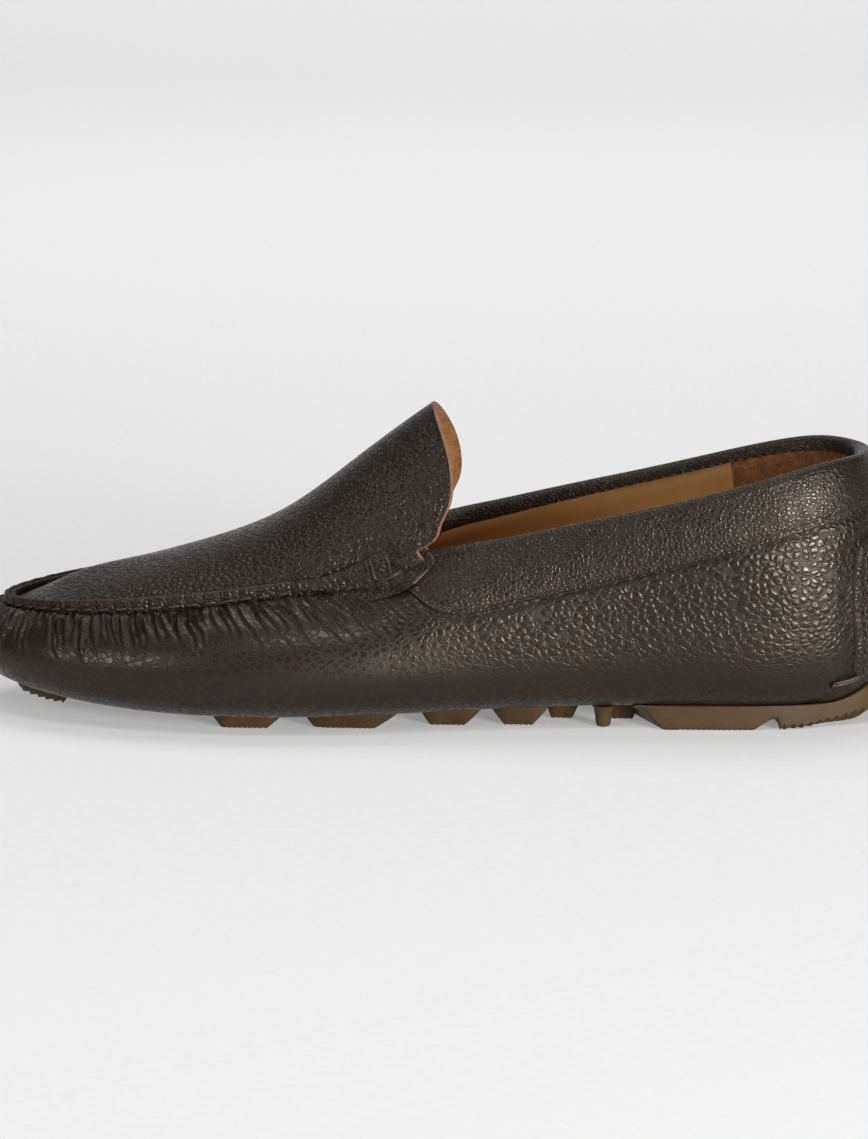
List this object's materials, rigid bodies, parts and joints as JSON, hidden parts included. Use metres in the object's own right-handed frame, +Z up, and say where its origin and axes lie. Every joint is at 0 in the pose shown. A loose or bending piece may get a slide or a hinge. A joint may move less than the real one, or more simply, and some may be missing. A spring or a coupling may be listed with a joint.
{
  "type": "moccasin",
  "caption": "Slip-on driving moccasin in dark brown pebbled leather with a hand-sewn apron, tan lining and gum rubber pods",
  "frame": {"origin": "on the floor under the middle of the shoe's length and width", "axes": "+X towards the heel, +Y towards the medial side, +Z up"},
  "size_m": [0.2913, 0.1045, 0.0976],
  "materials": {
    "leather_brown": "dark brown pebbled full-grain leather, satin",
    "lining_tan": "smooth tan lining leather",
    "suede_tan": "rough tan suede",
    "thread_brown": "waxed dark brown thread",
    "foam_grey": "soft foam sheet",
    "board_fibre": "pressed fibre board",
    "rubber_gum": "gum rubber, matt"
  },
  "bodies": {
    "root": {"wrap": "leather_brown", "apron": "leather_brown", "apron_lining": "suede_tan", "vamp_lining": "lining_tan", "quarter_lining": "lining_tan", "heel_grip": "suede_tan", "heel_counter": "board_fibre", "collar_foam": "foam_grey", "collar_band": "leather_brown", "collar_thread": "thread_brown", "topline_thread": "thread_brown", "moc_thread": "thread_brown", "throat_lacing_lateral": "thread_brown", "throat_lacing_medial": "thread_brown", "heel_patch": "leather_brown", "heel_patch_thread": "thread_brown", "heel_tie": "thread_brown", "insole_board": "board_fibre", "footbed_foam": "foam_grey", "sock_lining": "lining_tan", "toe_pod": "rubber_gum", "forefoot_pods": "rubber_gum", "arch_pods": "rubber_gum", "arch_pegs": "rubber_gum", "heel_unit": "rubber_gum"}
  },
  "joints": []
}
